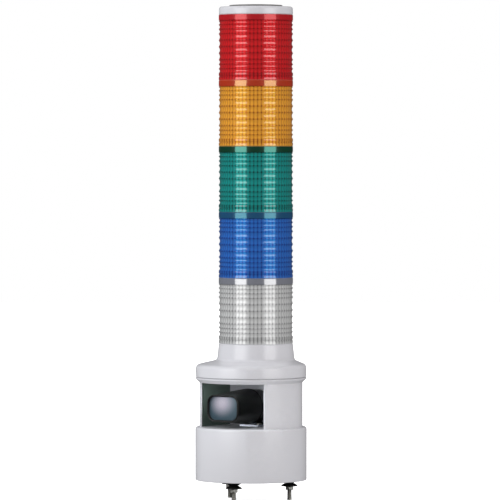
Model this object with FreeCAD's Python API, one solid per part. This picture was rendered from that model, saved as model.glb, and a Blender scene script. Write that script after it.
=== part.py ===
import FreeCAD, Part
import math
import os

from FreeCAD import Vector

# Stack light: five lit tiers over an electric horn and a wiring base, fixed by three studs.
# Millimetres. Origin at the centre of the mounting face, +Z up, the horn window faces -Y.
# Angles round the base are counted from -Y towards +X.

# ---- driving dimensions -------------------------------------------------------------------

# fits between pieces
slip = 0.2  # radial gap between pieces that slide together
thread_gap = 0.05  # radial gap round a screw or stud in its hole
past = 1.0  # how far a cutter runs past the face that it opens, and a joined piece into its carrier
edge_round = 0.4  # small rounds on moulded and turned edges

# wiring base
base_r = 60.0
base_h = 57.5
base_wall = 2.5
base_top_round = 2.5
base_foot_round = 1.5
base_inner_round = 1.5
deck_t = 3.0
plate_t = 2.0
plate_dish_r = 18.0
plate_dish_rise = 2.0
plate_bend_r = 1.0
plate_post_r = 4.0
plate_post_gap = 3.0
plate_post_count = 4
plate_screw_r = 1.5
plate_screw_length = 10.0
plate_screw_head_r = 2.9
plate_screw_head_h = 1.4

# mounting studs, their washers and nuts
stud_r = 2.475
stud_inset = 16.0  # from the bore of the base to the stud circle
stud_count = 3
stud_phase = 7.0
stud_reach = 22.0
stud_head_r = 5.0
stud_head_h = 1.5
stud_tip_chamfer = 0.6
washer_r = 8.75
washer_hub_r = 4.6
washer_lip_t = 1.1
washer_t = 3.5
nut_across_flats = 8.0
nut_t = 4.0
nut_chamfer = 0.6

# cable inlet in the base plate
inlet_hole_r = 10.0
grommet_bore_r = 6.0
grommet_lip = 2.5
grommet_lip_t = 1.4
grommet_nose_h = 5.0
grommet_round = 0.5

# control board in the base
board_side_gap = 23.5  # from the bore of the base to the board's ends
board_d = 44.0
board_t = 1.6
standoff_r = 3.0
standoff_h = 12.0
standoff_inset = 6.0
terminal_ways = 8
terminal_pitch = 5.0
terminal_d = 9.0
terminal_h = 11.0
terminal_inset = 3.0
wire_port_w = 3.2
wire_port_h = 4.0
wire_port_floor = 1.0
terminal_screw_well = 2.0
capacitor_r = 5.0
capacitor_h = 16.0
capacitor_gap = 2.0
relay_w = 19.0
relay_d = 15.0
relay_h = 14.0

# horn housing
drum_step = 4.5  # the drum stands back from the base's side
drum_h = 48.0
drum_wall = 2.2
ceiling_t = 2.4
flange_chamfer_h = 3.8
flange_edge_h = 1.4
flange_round = 1.5
window_half_angle = 48.0
window_edge_round = 0.7
spigot_t = 2.2
spigot_h = 4.0
clamp_post_r = 3.1
cover_post_r = 4.1
clamp_screw_r = 1.75
clamp_screw_head_r = 3.2
clamp_screw_head_h = 2.0
clamp_screw_bite = 12.0
clamp_angles = (-90.0, 90.0, 180.0)
wire_hole_r = 2.2
wire_hole_angle = 16.0
screen_post_gap = 0.5
screen_wall_t = 2.0

# horn
horn_x = -5.0
horn_over_deck = 21.5
horn_front_y = -48.0
mouth_w = 40.0
mouth_h = 28.5
mouth_round = 9.0
mouth_rim = 1.7
mouth_edge_round = 0.7
bell_waist_y = -26.0
bell_waist_w = 39.4
bell_waist_h = 33.0
bell_waist_round = 13.0
flare_middle_w = 16.5
flare_middle_h = 14.1
flare_middle_round = 6.6
throat_r = 6.0
throat_y = -9.0
driver_r = 18.0
driver_flange_r = 19.2
driver_flange_t = 3.0
driver_length = 24.0
driver_back_round = 6.0
diaphragm_r = 14.0
diaphragm_t = 0.4
diaphragm_seat_depth = 2.0
gauze_crown_r = 70.0
gauze_t = 0.8
gauze_ledge = 2.0
terminal_tab_w = 6.3
terminal_tab_t = 0.8
terminal_tab_length = 8.0
terminal_tab_x = 11.0
terminal_tab_clearance = 1.0
bracket_t = 1.5
bracket_w = 24.0
bracket_foot = 22.0
bracket_bend_r = 2.5
bracket_top_over_axis = 9.0
bracket_bolt_r = 2.5
bracket_bolt_head_r = 4.6
bracket_bolt_head_h = 3.5
bracket_bolt_bite = 6.0
bracket_screw_r = 1.5
bracket_screw_head_r = 2.8
bracket_screw_head_h = 1.8
bracket_screw_spacing = 14.0

# top cover, with the neck that carries the tower
cover_step = 0.4  # the cover and the flange under it stand back from the base's side
cover_wall = 2.5
cover_side_h = 12.8
cover_round = 5.0
shoulder_rise = 4.9
neck_flare = 1.9  # the neck's foot is this much wider than the lenses
neck_fillet = 3.0
neck_h = 17.3
neck_back_step = 8.2  # shoulder left behind the neck, which moves the tower back from the base's axis
cover_seal_t = 0.8
cover_seal_inset = 1.0
tower_seat_t = 3.0
tower_seat_drop = 6.0
tower_seat_ledge = 3.0

# tower tiers, named from the top
tier_colours = ("red", "amber", "green", "blue", "clear")
tier_pitch = 70.9
lens_r = 40.0
lens_wall = 3.0
lens_top_band = 5.85
scallop_narrow = 4.85
scallop_wide = 7.0
scallop_narrow_count = 3
scallop_wide_count = 4
scallop_depth = 1.35
flute_count = 60
flute_depth = 0.6
ledge_w = 3.5
ledge_t = 2.0
tier_seal_t = 0.8
tier_seal_inset = 0.4
tier_disc_t = 2.0
tier_disc_wire_r = 4.0
lamp_core_w = 18.0
lamp_core_wall = 1.6
lamp_core_h = 52.0
lamp_rows = 5
lamp_size = 5.0
lamp_t = 1.6

# tie rods, cap and its disc
rod_r = 2.0
rod_circle_r = 22.0
rod_count = 3
rod_boss_r = 5.0
rod_boss_h = 8.0
rod_over_nut = 0.4
rod_nut_across_flats = 7.0
rod_nut_t = 3.2
rod_pocket_r = 4.6
rod_pocket_depth = 3.8
cap_boss_wall = 1.2
cap_step = 0.2  # the cap stands back from the lenses
cap_h = 8.0
cap_top_t = 2.5
cap_wall = 3.4
cap_round = 3.0
cap_disc_r = 28.5
cap_disc_t = 2.4

# ---- levels and radii worked out from them ------------------------------------------------

deck_z = base_h
ceiling_z = deck_z + drum_h
flange_z = ceiling_z + flange_chamfer_h
joint_z = flange_z + flange_edge_h
cover_z = joint_z + cover_seal_t
shoulder_z = cover_z + cover_side_h
neck_foot_z = shoulder_z + shoulder_rise
tower_z = neck_foot_z + neck_h
tower_top_z = tower_z + len(tier_colours) * tier_pitch + tier_seal_t
cap_z = tower_top_z + cap_h

horn_z = deck_z + horn_over_deck
base_bore_r = base_r - base_wall
stud_circle_r = base_bore_r - stud_inset
board_w = 2 * (base_bore_r - board_side_gap)
plate_post_circle_r = base_bore_r - plate_post_gap - plate_post_r
drum_r = base_r - drum_step
drum_bore_r = drum_r - drum_wall
cover_r = base_r - cover_step
spigot_r = cover_r - cover_wall - slip
clamp_circle_r = drum_bore_r - clamp_post_r - slip
clamp_hole_r = clamp_screw_r + thread_gap
screen_outer_x = clamp_circle_r - clamp_post_r - screen_post_gap
neck_foot_r = lens_r + neck_flare
tower_offset = cover_r - neck_foot_r - neck_back_step
cap_r = lens_r - cap_step
lens_bore_r = lens_r - lens_wall
neck_bore_r = lens_bore_r - tier_seal_inset
tower_seat_z = tower_z - tower_seat_drop
tower_seat_r = neck_bore_r - slip
rod_hole_r = rod_r + slip
rod_foot_z = tower_seat_z - rod_boss_h
rod_pocket_z = cap_z - rod_pocket_depth
rod_top_z = rod_pocket_z + rod_nut_t + rod_over_nut
nut_top_z = -2 * washer_t
nut_foot_z = nut_top_z - nut_t
tower_axis = Vector(0, tower_offset, 0)


# ---- shared helpers -----------------------------------------------------------------------

def rounded_wire(corners, place):
    """Closed wire through (u, v, radius) corners; place turns u and v into a point."""
    count = len(corners)
    edges = []
    ends = []
    for i in range(count):
        u, v, radius = corners[i]
        here = place(u, v)
        back = place(*corners[i - 1][:2]) - here
        ahead = place(*corners[(i + 1) % count][:2]) - here
        if radius == 0:
            ends.append((here, here))
            continue
        half = back.getAngle(ahead) / 2
        run = radius / math.tan(half)
        back.normalize()
        ahead.normalize()
        start = here + back * run
        end = here + ahead * run
        middle = back + ahead
        middle.normalize()
        top = here + middle * (radius / math.sin(half) - radius)
        edges.append(Part.Arc(start, top, end).toShape())
        ends.append((start, end))
    for i in range(count):
        start = ends[i][1]
        end = ends[(i + 1) % count][0]
        if start.distanceToPoint(end) > 1e-6:
            edges.append(Part.makeLine(start, end))
    return Part.Wire(Part.__sortEdges__(edges))


def turned(corners, centre=Vector(0, 0, 0)):
    """Solid turned about a vertical axis from a closed profile of (radius, height, round) corners."""
    profile = rounded_wire(corners, lambda r, z: Vector(r, 0, z))
    solid = Part.Face(profile).revolve(Vector(0, 0, 0), Vector(0, 0, 1), 360)
    solid.translate(centre)
    return solid


def disc(radius, low, high, centre=Vector(0, 0, 0)):
    return Part.makeCylinder(radius, high - low, centre + Vector(0, 0, low))


def ring(inner, outer, low, high, centre=Vector(0, 0, 0)):
    return disc(outer, low, high, centre).cut(disc(inner, low - past, high + past, centre))


def block(x, y, z):
    """Box from three (low, high) pairs."""
    return Part.makeBox(x[1] - x[0], y[1] - y[0], z[1] - z[0], Vector(x[0], y[0], z[0]))


def around(radius, angles, centre=Vector(0, 0, 0)):
    """Points on a circle, with each angle counted from -Y towards +X."""
    points = []
    for angle in angles:
        turn = math.radians(angle)
        points.append(centre + Vector(radius * math.sin(turn), -radius * math.cos(turn), 0))
    return points


def even_angles(count, phase=0.0):
    return [phase + i * 360.0 / count for i in range(count)]


def hexagon(across_flats, low, high, centre):
    """Hexagonal nut blank with its corners turned off."""
    corner_r = across_flats / math.sqrt(3)
    corners = [centre + Vector(corner_r * math.cos(math.radians(60 * i)),
                               corner_r * math.sin(math.radians(60 * i)), low) for i in range(7)]
    blank = Part.Face(Part.makePolygon(corners)).extrude(Vector(0, 0, high - low))
    flat_r = across_flats / 2
    turned_off = turned([(0, low, 0), (flat_r, low, 0), (corner_r, low + nut_chamfer, 0),
                         (corner_r, high - nut_chamfer, 0), (flat_r, high, 0), (0, high, 0)], centre)
    return blank.common(turned_off)


def nut(across_flats, bore_r, low, high, centre):
    return hexagon(across_flats, low, high, centre).cut(disc(bore_r, low - past, high + past, centre))


def fused(shapes):
    whole = shapes[0]
    if len(shapes) > 1:
        whole = whole.fuse(list(shapes[1:]))
    return whole.removeSplitter()


def along_y(shape, origin):
    """Turn a shape made on +Z so that its axis runs along +Y from origin."""
    moved = shape.copy()
    moved.rotate(Vector(0, 0, 0), Vector(1, 0, 0), -90)
    moved.translate(origin)
    return moved


# ---- mounting hardware --------------------------------------------------------------------

stud_places = around(stud_circle_r, even_angles(stud_count, stud_phase))


def mounting_studs():
    """Headed studs; the free length below the nut, where a panel goes, is a face of its own."""
    studs = []
    for place in stud_places:
        profile = [(0, -stud_reach, 0), (stud_r - stud_tip_chamfer, -stud_reach, 0),
                   (stud_r, stud_tip_chamfer - stud_reach, 0), (stud_r, nut_foot_z, 0),
                   (stud_r, plate_t, 0), (stud_head_r, plate_t, 0),
                   (stud_head_r, plate_t + stud_head_h, edge_round), (0, plate_t + stud_head_h, 0)]
        studs.append(turned(profile, place))
    return Part.makeCompound(studs)


def stud_washers():
    """Two cupped rubber washers on each stud, hub to hub, with their lips towards base and nut."""
    bore = stud_r + thread_gap
    groove_z = washer_t - washer_lip_t
    washers = []
    for place in stud_places:
        for rim, hub in ((0.0, -washer_t), (nut_top_z, nut_top_z + washer_t)):
            down = 1 if hub > rim else -1
            profile = [(bore, rim, 0), (washer_hub_r, rim, 0), (washer_hub_r, rim + down * groove_z, 0),
                       (washer_r - washer_lip_t, rim, 0), (washer_r, rim, 0),
                       (washer_r, rim + down * washer_lip_t, edge_round), (washer_hub_r, hub, 0),
                       (bore, hub, 0)]
            washers.append(turned(profile, place))
    return Part.makeCompound(washers)


def stud_nuts():
    return Part.makeCompound([
        nut(nut_across_flats, stud_r + thread_gap, nut_foot_z, nut_top_z, place) for place in stud_places])


# ---- wiring base --------------------------------------------------------------------------

plate_post_places = around(plate_post_circle_r,
                           even_angles(plate_post_count, stud_phase + 180.0 / plate_post_count))
clamp_places = around(clamp_circle_r, clamp_angles)
wire_hole_places = around(clamp_circle_r, [side + step for side in (-90.0, 90.0)
                                           for step in (-wire_hole_angle, wire_hole_angle)])


def base_housing():
    """Cup that is open downwards, with posts for the base plate hanging from its deck."""
    under_deck = deck_z - deck_t
    shell = turned([(base_bore_r, 0, 0), (base_r, 0, base_foot_round),
                    (base_r, deck_z, base_top_round), (0, deck_z, 0),
                    (0, under_deck, 0), (base_bore_r, under_deck, base_inner_round)])
    posts = [disc(plate_post_r, plate_t, under_deck + deck_t / 2, place) for place in plate_post_places]
    webs = []
    for place in plate_post_places:
        outward = Vector(place.x, place.y, 0)
        outward.normalize()
        web = block((0, base_wall), (plate_post_circle_r, base_bore_r + base_wall / 2),
                    (plate_t, under_deck + deck_t / 2))
        web.translate(Vector(-base_wall / 2, 0, 0))
        web.rotate(Vector(0, 0, 0), Vector(0, 0, 1), math.degrees(math.atan2(-outward.x, outward.y)))
        webs.append(web)
    body = fused([shell] + posts + webs)
    holes = [disc(plate_screw_r + thread_gap, 0, plate_t + plate_screw_length, place)
             for place in plate_post_places]
    holes += [disc(clamp_hole_r, under_deck - past, deck_z + past, place) for place in clamp_places]
    holes += [disc(wire_hole_r, under_deck - past, deck_z + past, place) for place in wire_hole_places]
    holes += [disc(bracket_screw_r + thread_gap, under_deck - past, deck_z + past, place)
              for place in bracket_screw_places]
    return body.cut(holes)


def base_plate():
    """Pressed steel plate, dished up round the cable inlet."""
    dish_z = plate_t + plate_dish_rise
    dish_foot_r = plate_dish_r + plate_dish_rise
    plate = turned([(inlet_hole_r, plate_dish_rise, 0), (plate_dish_r, plate_dish_rise, plate_bend_r),
                    (dish_foot_r, 0, plate_bend_r), (base_bore_r - slip, 0, 0),
                    (base_bore_r - slip, plate_t, 0), (dish_foot_r, plate_t, plate_bend_r),
                    (plate_dish_r, dish_z, plate_bend_r), (inlet_hole_r, dish_z, 0)])
    holes = [disc(stud_r + thread_gap, -past, plate_t + past, place) for place in stud_places]
    for place in plate_post_places:
        holes.append(disc(plate_screw_r + slip, -past, plate_t + past, place))
        holes.append(countersink(plate_screw_head_r + thread_gap, plate_screw_r + slip, place))
    return plate.cut(holes)


def countersink(head_r, shank_r, place):
    return turned([(0, 0, 0), (head_r, 0, 0), (shank_r, plate_screw_head_h, 0),
                   (0, plate_screw_head_h, 0)], place)


def plate_screws():
    screws = []
    for place in plate_post_places:
        shank = disc(plate_screw_r, 0, plate_t + plate_screw_length - past, place)
        screws.append(fused([countersink(plate_screw_head_r, plate_screw_r, place), shank]))
    return Part.makeCompound(screws)


def cable_grommet():
    """Rubber grommet that grips the edge of the inlet hole."""
    neck_r = inlet_hole_r - thread_gap
    lip_r = inlet_hole_r + grommet_lip
    low = plate_dish_rise
    high = plate_dish_rise + plate_t
    nose_z = high + grommet_nose_h
    return turned([(grommet_bore_r, low - grommet_lip_t, edge_round),
                   (lip_r, low - grommet_lip_t, grommet_round), (lip_r, low, 0), (neck_r, low, 0),
                   (neck_r, high, 0), (lip_r, high, 0), (lip_r, high + grommet_lip_t, grommet_round),
                   (grommet_bore_r + grommet_lip, nose_z, grommet_round), (grommet_bore_r, nose_z, 0)])


# ---- control board ------------------------------------------------------------------------

board_z = plate_t + standoff_h
standoff_places = [Vector(x * (board_w / 2 - standoff_inset), y * (board_d / 2 - standoff_inset), 0)
                   for x in (-1, 1) for y in (-1, 1)]


def board_standoffs():
    return Part.makeCompound([disc(standoff_r, plate_t, board_z, place) for place in standoff_places])


def control_board():
    return block((-board_w / 2, board_w / 2), (-board_d / 2, board_d / 2), (board_z, board_z + board_t))


def terminal_block():
    """Screw terminal row along the front edge of the board, with one wire port a way."""
    length = terminal_ways * terminal_pitch
    low = board_z + board_t
    front = -board_d / 2 + terminal_inset
    body = block((-length / 2, length / 2), (front, front + terminal_d), (low, low + terminal_h))
    cuts = []
    for way in range(terminal_ways):
        middle = -length / 2 + (way + 0.5) * terminal_pitch
        port_z = low + wire_port_floor
        cuts.append(block((middle - wire_port_w / 2, middle + wire_port_w / 2),
                          (front - past, front + terminal_d / 2), (port_z, port_z + wire_port_h)))
        cuts.append(disc(wire_port_w / 2, low + terminal_h - terminal_screw_well,
                         low + terminal_h + past, Vector(middle, front + terminal_d / 2, 0)))
    return body.cut(cuts)


def board_components():
    low = board_z + board_t
    back = board_d / 2 - terminal_inset
    relay_right = board_w / 2 - terminal_inset
    relay = block((relay_right - relay_w, relay_right), (back - relay_d, back), (low, low + relay_h))
    parts = [relay]
    for i in range(2):
        x = terminal_inset + capacitor_r - board_w / 2 + i * (2 * capacitor_r + capacitor_gap)
        high = low + capacitor_h
        parts.append(turned([(0, low, 0), (capacitor_r, low, 0), (capacitor_r, high, edge_round),
                             (0, high, 0)], Vector(x, back - capacitor_r, 0)))
    return Part.makeCompound(parts)


# ---- horn housing -------------------------------------------------------------------------

def window_cutter():
    """Wedge as tall as the drum, open towards -Y between the two jambs."""
    reach = 2 * drum_r
    corner_x = reach * math.sin(math.radians(window_half_angle))
    corner_y = -reach * math.cos(math.radians(window_half_angle))
    wedge = Part.makePolygon([Vector(0, 0, deck_z), Vector(corner_x, corner_y, deck_z),
                              Vector(0, -reach, deck_z), Vector(-corner_x, corner_y, deck_z),
                              Vector(0, 0, deck_z)])
    return Part.Face(wedge).extrude(Vector(0, 0, drum_h))


def horn_housing():
    """Drum with a closed top, a window through its front, and a flange that carries the cover."""
    ceiling_top = ceiling_z + ceiling_t
    wall = ring(drum_bore_r, drum_r, deck_z, ceiling_z).cut(window_cutter())
    jambs = [edge for edge in wall.Edges if is_jamb(edge)]
    wall = wall.makeFillet(window_edge_round, jambs)
    head = turned([(0, ceiling_z, 0), (drum_r, ceiling_z, 0), (cover_r, flange_z, flange_round),
                   (cover_r, joint_z, edge_round), (spigot_r, joint_z, 0),
                   (spigot_r, joint_z + spigot_h, edge_round), (spigot_r - spigot_t, joint_z + spigot_h, 0),
                   (spigot_r - spigot_t, ceiling_top, 0), (0, ceiling_top, 0)])
    post_top = ceiling_z + ceiling_t / 2
    posts = [disc(clamp_post_r, deck_z, post_top, place) for place in clamp_places]
    posts += [disc(cover_post_r, post_top, cover_z, place) for place in clamp_places]
    ribs = []
    for place in clamp_places:
        rib = block((-clamp_post_r / 2, clamp_post_r / 2), (clamp_circle_r, drum_r - drum_wall / 2),
                    (deck_z, post_top))
        rib.rotate(Vector(0, 0, 0), Vector(0, 0, 1), math.degrees(math.atan2(-place.x, place.y)))
        ribs.append(rib)
    body = fused([head, wall] + posts + ribs)
    holes = [disc(clamp_hole_r, deck_z - past, cover_z + past, place) for place in clamp_places]
    holes += [disc(wire_hole_r, ceiling_z - past, ceiling_top + past, place) for place in wire_hole_places]
    return body.cut(holes)


def is_jamb(edge):
    """True for the upright outer edges of the window."""
    box = edge.BoundBox
    upright = box.XLength < 0.01 and box.YLength < 0.01
    return upright and math.hypot(box.Center.x, box.Center.y) > drum_bore_r + drum_wall / 2


def cover_seal():
    return ring(spigot_r, cover_r - cover_seal_inset, joint_z, cover_z)


def screen_wall(side):
    """Flat panel that closes a wiring channel off from the horn; it stands on a chord of the drum."""
    half_chord = math.sqrt((drum_bore_r - slip) ** 2 - screen_outer_x ** 2)
    inner_x = screen_outer_x - screen_wall_t
    span = sorted((side * inner_x, side * screen_outer_x))
    return block(span, (-half_chord, half_chord), (deck_z, ceiling_z))


def wiring_screen_left():
    return screen_wall(-1)


def wiring_screen_right():
    return screen_wall(1)


def clamp_screws():
    """Long screws from under the deck through the drum's posts into the cover."""
    screws = []
    low = deck_z - deck_t
    for place in clamp_places:
        head_z = low - clamp_screw_head_h
        head = turned([(0, head_z, 0), (clamp_screw_head_r, head_z, edge_round),
                       (clamp_screw_head_r, low, 0), (0, low, 0)], place)
        shank = disc(clamp_screw_r, low, cover_z + clamp_screw_bite, place)
        screws.append(fused([head, shank]))
    return Part.makeCompound(screws)


# ---- horn ---------------------------------------------------------------------------------

horn_axis = Vector(horn_x, 0, horn_z)
driver_back_y = driver_length
bracket_screw_y = driver_back_y - bracket_foot / 2
bracket_screw_places = [Vector(horn_x + side * bracket_screw_spacing / 2, bracket_screw_y, 0)
                        for side in (-1, 1)]


def horn_section(width, height, corner, y):
    """Rounded rectangle across the horn's axis."""
    half_w = width / 2
    half_h = height / 2
    corners = [(-half_w, -half_h, corner), (half_w, -half_h, corner),
               (half_w, half_h, corner), (-half_w, half_h, corner)]
    return rounded_wire(corners, lambda u, v: horn_axis + Vector(u, y, v))


def round_section(radius, y):
    """Circle drawn as a rounded square, so that it lofts to the mouth corner by corner."""
    return horn_section(2 * radius, 2 * radius, radius * 0.99, y)


def horn_bell():
    """Moulded bell: rounded mouth swelling to the round driver, with a flare narrowing to the throat."""
    outer = Part.makeLoft([horn_section(mouth_w, mouth_h, mouth_round, horn_front_y),
                           horn_section(bell_waist_w, bell_waist_h, bell_waist_round, bell_waist_y),
                           round_section(driver_flange_r, 0)], True, False)
    front_edges = [edge for edge in outer.Edges if abs(edge.BoundBox.YMax - horn_front_y) < 0.01]
    outer = outer.makeFillet(mouth_edge_round, front_edges)
    flare_w = mouth_w - 2 * mouth_rim
    flare_h = mouth_h - 2 * mouth_rim
    flare_corner = mouth_round - mouth_rim
    middle_y = (horn_front_y + throat_y) / 2
    seat = gauze_seat_y()
    socket = Part.Face(horn_section(flare_w, flare_h, flare_corner, horn_front_y - past)).extrude(
        Vector(0, seat - horn_front_y + past, 0))
    flare = Part.makeLoft([horn_section(flare_w - gauze_ledge, flare_h - gauze_ledge,
                                        flare_corner - gauze_ledge / 2, seat),
                           horn_section(flare_middle_w, flare_middle_h, flare_middle_round, middle_y),
                           round_section(throat_r, throat_y)], True, True)
    throat = Part.Face(round_section(throat_r, throat_y)).extrude(Vector(0, past - throat_y, 0))
    pocket = along_y(disc(diaphragm_r + slip, -diaphragm_seat_depth, past), horn_axis)
    return outer.cut(socket).cut(fused([flare, throat])).cut(pocket)


def gauze_seat_y():
    """Where the back of the crowned gauze meets the corners of its socket."""
    half_w = mouth_w / 2 - mouth_rim
    half_h = mouth_h / 2 - mouth_rim
    reach = math.hypot(half_w, half_h)
    return horn_front_y + gauze_t + gauze_crown_r - math.sqrt(gauze_crown_r ** 2 - reach ** 2)


def horn_gauze():
    """Crowned gauze that closes the mouth, set inside the rim."""
    fit = mouth_rim + thread_gap
    start = horn_front_y - past
    plug = Part.Face(horn_section(mouth_w - 2 * fit, mouth_h - 2 * fit, mouth_round - fit, start)
                     ).extrude(Vector(0, gauze_seat_y() - start, 0))
    centre = horn_axis + Vector(0, horn_front_y + gauze_crown_r, 0)
    crown = Part.makeSphere(gauze_crown_r, centre)
    hollow = Part.makeSphere(gauze_crown_r - gauze_t, centre)
    return plug.common(crown).cut(hollow)


def horn_diaphragm():
    low = -diaphragm_t
    return along_y(disc(diaphragm_r, low, 0), horn_axis)


def horn_driver():
    """Round driver pot with a bolting flange and a rounded back."""
    bolt_hole = disc(bracket_bolt_r + thread_gap, driver_length - bracket_bolt_bite - past,
                     driver_length + past)
    pot = turned([(0, 0, 0), (driver_flange_r, 0, 0), (driver_flange_r, driver_flange_t, edge_round),
                  (driver_r, driver_flange_t, 0), (driver_r, driver_length, driver_back_round),
                  (0, driver_length, 0)])
    return along_y(pot.cut(bolt_hole), horn_axis)


def driver_terminals():
    """Two blade tabs that stand out of the driver's back."""
    tabs = []
    for side in (-1, 1):
        middle = horn_x + side * terminal_tab_x
        tabs.append(block((middle - terminal_tab_t / 2, middle + terminal_tab_t / 2),
                          (driver_back_y, driver_back_y + terminal_tab_length),
                          (horn_z - terminal_tab_w / 2, horn_z + terminal_tab_w / 2)))
    return Part.makeCompound(tabs)


def horn_bracket():
    """Folded steel bracket: a foot under the driver and an upright behind it."""
    back = driver_back_y + bracket_t
    front = back - bracket_foot
    top = horn_z + bracket_top_over_axis
    side = rounded_wire([(front, deck_z, 0), (back, deck_z, bracket_bend_r + bracket_t), (back, top, 0),
                         (driver_back_y, top, 0), (driver_back_y, deck_z + bracket_t, bracket_bend_r),
                         (front, deck_z + bracket_t, 0)],
                        lambda y, z: Vector(horn_x - bracket_w / 2, y, z))
    body = Part.Face(side).extrude(Vector(bracket_w, 0, 0))
    cuts = [disc(bracket_screw_r + slip, deck_z - past, deck_z + bracket_t + past, place)
            for place in bracket_screw_places]
    cuts.append(along_y(disc(bracket_bolt_r + slip, driver_back_y - past, back + past), horn_axis))
    slot_half = terminal_tab_t / 2 + terminal_tab_clearance
    slot_foot = horn_z - terminal_tab_w / 2 - terminal_tab_clearance
    for side_sign in (-1, 1):
        middle = horn_x + side_sign * terminal_tab_x
        cuts.append(block((middle - slot_half, middle + slot_half),
                          (driver_back_y - past, back + past), (slot_foot, top + past)))
    return body.cut(cuts)


def bracket_bolt():
    back = driver_back_y + bracket_t
    head = hexagon(bracket_bolt_head_r * math.sqrt(3), back, back + bracket_bolt_head_h, Vector(0, 0, 0))
    shank = disc(bracket_bolt_r, driver_back_y - bracket_bolt_bite, back + past)
    return along_y(fused([head, shank]), horn_axis)


def bracket_screws():
    screws = []
    seat = deck_z + bracket_t
    for place in bracket_screw_places:
        head = turned([(0, seat, 0), (bracket_screw_head_r, seat, 0),
                       (bracket_screw_head_r, seat + bracket_screw_head_h, edge_round),
                       (0, seat + bracket_screw_head_h, 0)], place)
        shank = disc(bracket_screw_r, deck_z - deck_t, seat + past, place)
        screws.append(fused([head, shank]))
    return Part.makeCompound(screws)


# ---- top cover ----------------------------------------------------------------------------

def cover_body(inset, corner_round):
    """Side and shoulder; the shoulder rises from the cover's rim to the neck's level foot."""
    rim_r = cover_r - inset
    rim_z = shoulder_z - inset
    rim = Part.makeCircle(rim_r, Vector(0, 0, rim_z))
    foot = Part.makeCircle(neck_foot_r - inset, tower_axis + Vector(0, 0, neck_foot_z - inset))
    shoulder = Part.makeLoft([Part.Wire(rim), Part.Wire(foot)], True, True)
    body = fused([disc(rim_r, cover_z, rim_z), shoulder])
    return body.makeFillet(corner_round, level_rings(body, rim_r, rim_z))


def level_rings(shape, radius, z):
    """The level circular edges of a radius at a height."""
    rings = []
    for edge in shape.Edges:
        box = edge.BoundBox
        if box.ZLength < 0.01 and abs(box.Center.z - z) < 0.01 and abs(box.XLength - 2 * radius) < 0.1:
            rings.append(edge)
    return rings


def cover_form():
    """Outer form: side and shoulder with the neck on it, and a fillet where they meet."""
    neck = Part.makeCone(neck_foot_r, lens_r, neck_h, tower_axis + Vector(0, 0, neck_foot_z))
    form = fused([cover_body(0, cover_round), neck])
    return form.makeFillet(neck_fillet, level_rings(form, neck_foot_r, neck_foot_z))


def cover_hollow():
    """Space inside the cover: under the shoulder, up the neck, and the stepped seat at its top."""
    room = cover_body(cover_wall, cover_round - cover_wall)
    neck = disc(lens_r - cover_wall, shoulder_z - cover_wall, tower_seat_z - tower_seat_ledge, tower_axis)
    throat = disc(neck_bore_r - ledge_w, shoulder_z, tower_z + past, tower_axis)
    mouth = disc(neck_bore_r, tower_seat_z, tower_z + past, tower_axis)
    return [room, neck, throat, mouth]


def top_cover():
    """Side, shoulder and the offset neck, hollow, with posts for the clamp screws."""
    posts = [disc(cover_post_r, cover_z, neck_foot_z, place) for place in clamp_places]
    holes = [disc(clamp_hole_r, cover_z - past, cover_z + clamp_screw_bite + slip, place)
             for place in clamp_places]
    shell = cover_form()
    for room in cover_hollow():
        shell = shell.cut(room.cut(posts))
    return shell.cut(holes)


def tower_seat():
    """Plate in the neck that the tie rods pull down on."""
    plate = disc(tower_seat_r, tower_seat_z, tower_seat_z + tower_seat_t, tower_axis)
    top = tower_seat_z + tower_seat_t
    bosses = [disc(rod_boss_r, rod_foot_z, tower_seat_z + past, place) for place in rod_places]
    holes = [disc(rod_r + thread_gap, rod_foot_z - past, top + past, place) for place in rod_places]
    wires = disc(tier_disc_wire_r, tower_seat_z - past, top + past, tower_axis)
    return fused([plate] + bosses).cut(holes + [wires])


# ---- tower tiers --------------------------------------------------------------------------

rod_places = around(rod_circle_r, even_angles(rod_count), tower_axis)


def tier_floor(index):
    """Height of a tier's lower end; index 0 is the top tier."""
    return tower_z + (len(tier_colours) - 1 - index) * tier_pitch


def scallop_heights():
    """Depths below the lens top at which one scallop ends and the next begins."""
    widths = ([scallop_narrow] * scallop_narrow_count + [scallop_wide] * scallop_wide_count
              + [scallop_narrow] * scallop_narrow_count)
    depths = [lens_top_band]
    for width in widths:
        depths.append(depths[-1] + width)
    return depths


def lens(index):
    """Ringed outside, fluted inside, with a ledge at the foot for the tier's disc."""
    low = tier_floor(index) + tier_seal_t
    high = tier_floor(index) + tier_pitch
    valley_r = lens_r - scallop_depth
    depths = scallop_heights()
    corners = [(lens_bore_r - ledge_w, low, 0), (lens_r, low, 0)]
    for i in range(len(depths) - 1, -1, -1):
        corners.append((lens_r, high - depths[i], 0))
        if i > 0:
            corners.append((valley_r, high - (depths[i] + depths[i - 1]) / 2, 0))
    corners += [(lens_r, high, 0), (lens_bore_r - ledge_w, high, 0)]
    body = turned(corners, tower_axis)
    points = []
    for i in range(2 * flute_count + 1):
        turn = math.pi * i / flute_count
        radius = lens_bore_r if i % 2 == 0 else lens_bore_r - flute_depth
        points.append(tower_axis + Vector(radius * math.cos(turn), radius * math.sin(turn), low + ledge_t))
    bore = Part.Face(Part.makePolygon(points)).extrude(Vector(0, 0, high - low))
    return body.cut(bore)


def tier_disc(index):
    """Round plate on the lens ledge that carries the lamp core and keeps the colours apart."""
    low = tier_floor(index) + tier_seal_t + ledge_t
    plate = disc(lens_bore_r - flute_depth - slip, low, low + tier_disc_t, tower_axis)
    holes = [disc(rod_hole_r, low - past, low + tier_disc_t + past, place) for place in rod_places]
    return plate.cut(holes + [disc(tier_disc_wire_r, low - past, low + tier_disc_t + past, tower_axis)])


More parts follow.
